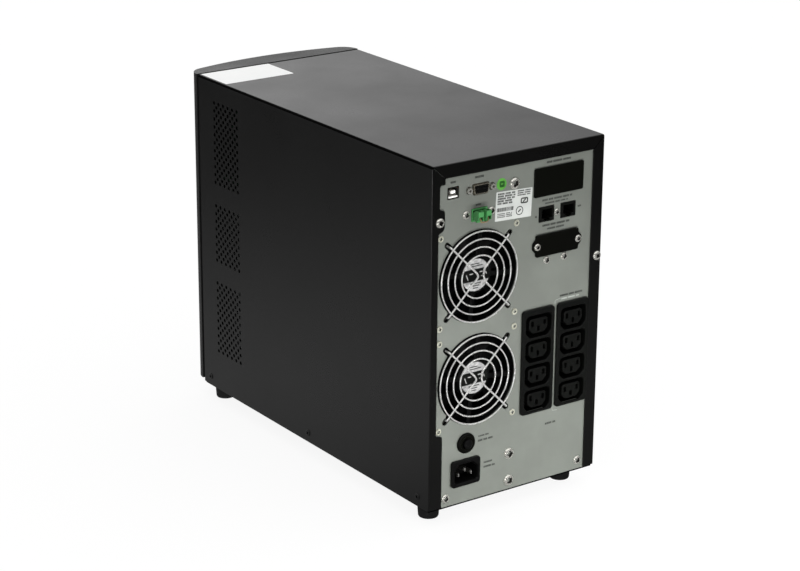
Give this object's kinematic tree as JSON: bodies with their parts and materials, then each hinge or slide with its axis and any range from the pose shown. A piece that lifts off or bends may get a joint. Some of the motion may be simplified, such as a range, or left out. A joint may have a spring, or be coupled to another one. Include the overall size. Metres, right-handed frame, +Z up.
{
  "type": "uninterruptible power supply",
  "caption": "Tower uninterruptible power supply in a black steel case, with finned wire fan guards, outlet strips, mains inlet and signal ports on a grey rear panel and a bowed front bezel.",
  "frame": {"origin": "centre of the footprint, on the surface the feet stand on", "axes": "+Z up, front bezel towards -Y, connector panel towards +Y, +X on the left of someone who faces the connector panel"},
  "size_m": [0.1918, 0.424, 0.3372],
  "materials": {
    "cover_paint": "black powder coat, fine grain",
    "panel_steel": "grey-green painted steel sheet, satin",
    "galvanised_steel": "galvanised sheet",
    "screw_steel": "bright zinc",
    "black_screw": "black oxide",
    "guard_chrome": "bright plated wire",
    "fan_plastic": "black, satin",
    "socket_plastic": "black, satin",
    "button_plastic": "black, satin",
    "pin_nickel": "nickel-plated brass",
    "connector_steel": "tinned steel shell",
    "green_plastic": "green, satin",
    "bezel_plastic": "charcoal, fine texture",
    "window_plastic": "dark clear window",
    "circuit_board": "green solder mask",
    "battery_plastic": "dark grey case",
    "heat_sink_aluminium": "extruded, clear",
    "winding": "enamelled copper winding",
    "capacitor_sleeve": "dark blue sleeve",
    "foot_rubber": "matt black"
  },
  "bodies": {
    "root": {"cover": "cover_paint", "base_chassis": "cover_paint", "rear_panel": "panel_steel", "foot_front_left": "foot_rubber", "foot_front_right": "foot_rubber", "foot_rear_left": "foot_rubber", "foot_rear_right": "foot_rubber", "cover_screw_left": "screw_steel", "cover_screw_right": "screw_steel", "side_screw_left_front": "black_screw", "side_screw_left_middle": "black_screw", "side_screw_left_rear": "black_screw", "side_screw_right_front": "black_screw", "side_screw_right_middle": "black_screw", "side_screw_right_rear": "black_screw", "fan_frame_upper": "fan_plastic", "fan_frame_lower": "fan_plastic", "fan_guard_upper": "guard_chrome", "fan_guard_lower": "guard_chrome", "outlet_strip_left": "socket_plastic", "outlet_strip_right": "socket_plastic", "inlet_socket": "socket_plastic", "inlet_pin_line": "pin_nickel", "inlet_pin_neutral": "pin_nickel", "inlet_pin_earth": "pin_nickel", "breaker_body": "socket_plastic", "usb_port": "connector_steel", "serial_port": "connector_steel", "epo_header": "green_plastic", "surge_jack_in": "socket_plastic", "surge_jack_out": "socket_plastic", "slot_cover": "socket_plastic", "battery_port_cover": "cover_paint", "front_bezel": "bezel_plastic", "bezel_plinth": "bezel_plastic", "lcd_window": "window_plastic", "display_board": "circuit_board", "battery_shelf": "galvanised_steel", "battery_1": "battery_plastic", "battery_2": "battery_plastic", "battery_3": "battery_plastic", "battery_4": "battery_plastic", "battery_5": "battery_plastic", "battery_6": "battery_plastic", "battery_7": "battery_plastic", "battery_8": "battery_plastic", "power_board": "circuit_board", "control_board": "circuit_board", "heat_sink_left": "heat_sink_aluminium", "heat_sink_right": "heat_sink_aluminium", "choke": "winding", "transformer": "winding", "bulk_capacitor": "capacitor_sleeve"},
    "fan_rotor_upper": {"fan_rotor_upper": "fan_plastic"},
    "fan_rotor_lower": {"fan_rotor_lower": "fan_plastic"},
    "button_on": {"button_on": "button_plastic"},
    "button_select": {"button_select": "button_plastic"},
    "button_off": {"button_off": "button_plastic"},
    "breaker_button": {"breaker_button": "button_plastic"},
    "epo_plug": {"epo_plug": "green_plastic"}
  },
  "joints": [
    {"name": "fan_upper_spin", "type": "hinge", "parent": "root", "child": "fan_rotor_upper", "pos_m": [0.0431, 0.187, 0.2297], "axis": [0, 1, 0], "continuous": true},
    {"name": "fan_lower_spin", "type": "hinge", "parent": "root", "child": "fan_rotor_lower", "pos_m": [0.0431, 0.187, 0.1333], "axis": [0, 1, 0], "continuous": true},
    {"name": "button_on_press", "type": "slide", "parent": "root", "child": "button_on", "axis": [0, 1, 0], "range_m": [0, 0.0012], "stiffness_N_per_m": 400},
    {"name": "button_select_press", "type": "slide", "parent": "root", "child": "button_select", "axis": [0, 1, 0], "range_m": [0, 0.0012], "stiffness_N_per_m": 400},
    {"name": "button_off_press", "type": "slide", "parent": "root", "child": "button_off", "axis": [0, 1, 0], "range_m": [0, 0.0012], "stiffness_N_per_m": 400},
    {"name": "breaker_trip", "type": "slide", "parent": "root", "child": "breaker_button", "axis": [0, 1, 0], "range_m": [0, 0.004]},
    {"name": "epo_plug_pull", "type": "slide", "parent": "root", "child": "epo_plug", "axis": [0, 1, 0], "range_m": [0, 0.012]}
  ]
}
